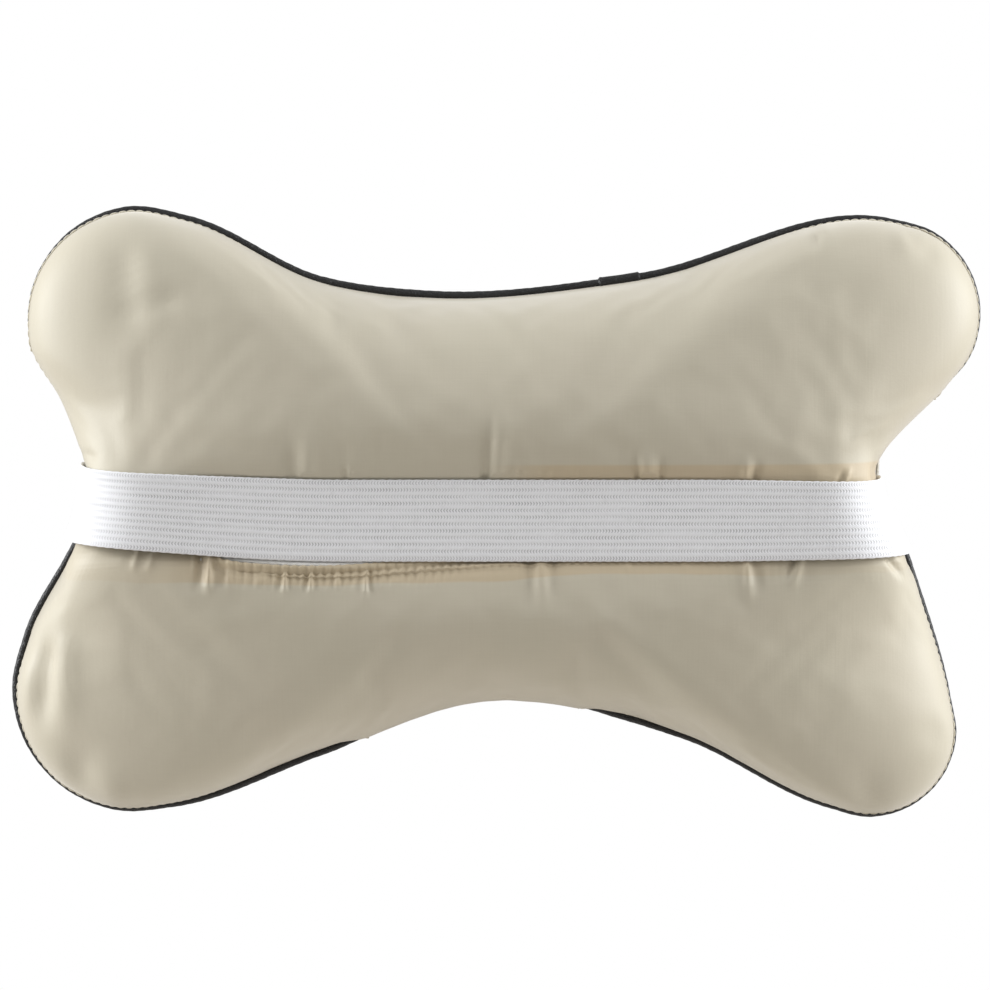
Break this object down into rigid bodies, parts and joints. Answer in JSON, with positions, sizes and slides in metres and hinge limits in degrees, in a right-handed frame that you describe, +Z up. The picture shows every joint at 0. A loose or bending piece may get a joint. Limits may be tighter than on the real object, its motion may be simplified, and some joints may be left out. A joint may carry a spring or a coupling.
{
  "type": "car headrest neck pillow",
  "caption": "Bone-shaped stuffed neck pillow with piped edge, leather front, lining back with a zip, and an elastic strap that holds it on a headrest.",
  "frame": {"origin": "middle of the strap's inner face, which is where the headrest's back bears", "axes": "+X along the pillow to the right as seen from the back, +Z up, -Y out of the back where the strap is, +Y out of the leather front"},
  "size_m": [0.3026, 0.0948, 0.1912],
  "materials": {
    "lining": "beige satin-like woven lining, soft sheen",
    "leather": "black grained leatherette, satin",
    "elastic": "white ribbed woven elastic",
    "tape": "cream woven zip tape",
    "coil": "cream nylon monofilament",
    "nickel": "nickel-plated zinc, satin",
    "foam": "open-cell sponge laminate",
    "nonwoven": "white nonwoven cloth",
    "fibre": "white polyester fibre",
    "cord": "twisted cotton filler cord"
  },
  "bodies": {
    "pillow": {"back_panel_upper": "lining", "back_panel_lower": "lining", "front_panel_left": "leather", "front_panel_centre": "leather", "front_panel_right": "leather", "front_foam": "foam", "inner_bag_front": "nonwoven", "inner_bag_back": "nonwoven", "fibre_fill": "fibre", "piping_cover": "leather", "piping_cord": "cord", "piping_join_wrap": "leather", "strap_end_left": "elastic", "strap_end_right": "elastic", "zip_tape_upper": "tape", "zip_tape_lower": "tape", "zip_coil_upper": "coil", "zip_coil_lower": "coil", "zip_bottom_stop": "nickel", "zip_top_stop_upper": "nickel", "zip_top_stop_lower": "nickel"},
    "strap": {"strap_middle": "elastic"},
    "slider": {"zip_slider": "nickel"},
    "pull_tab": {"zip_pull_tab": "nickel"}
  },
  "joints": [
    {"name": "strap_lift", "type": "slide", "parent": "pillow", "child": "strap", "axis": [0, -1, 0], "range_m": [0, 0.1], "stiffness_N_per_m": 300, "deforming": ["strap_end_left", "strap_end_right"]},
    {"name": "zip_slide", "type": "slide", "parent": "pillow", "child": "slider", "axis": [-1, 0, 0], "range_m": [0, 0.164]},
    {"name": "tab_swing", "type": "hinge", "parent": "slider", "child": "pull_tab", "pos_m": [0.082, 0.00425, -0.002], "axis": [0, 0, 1], "range_deg": [0, 12]}
  ]
}
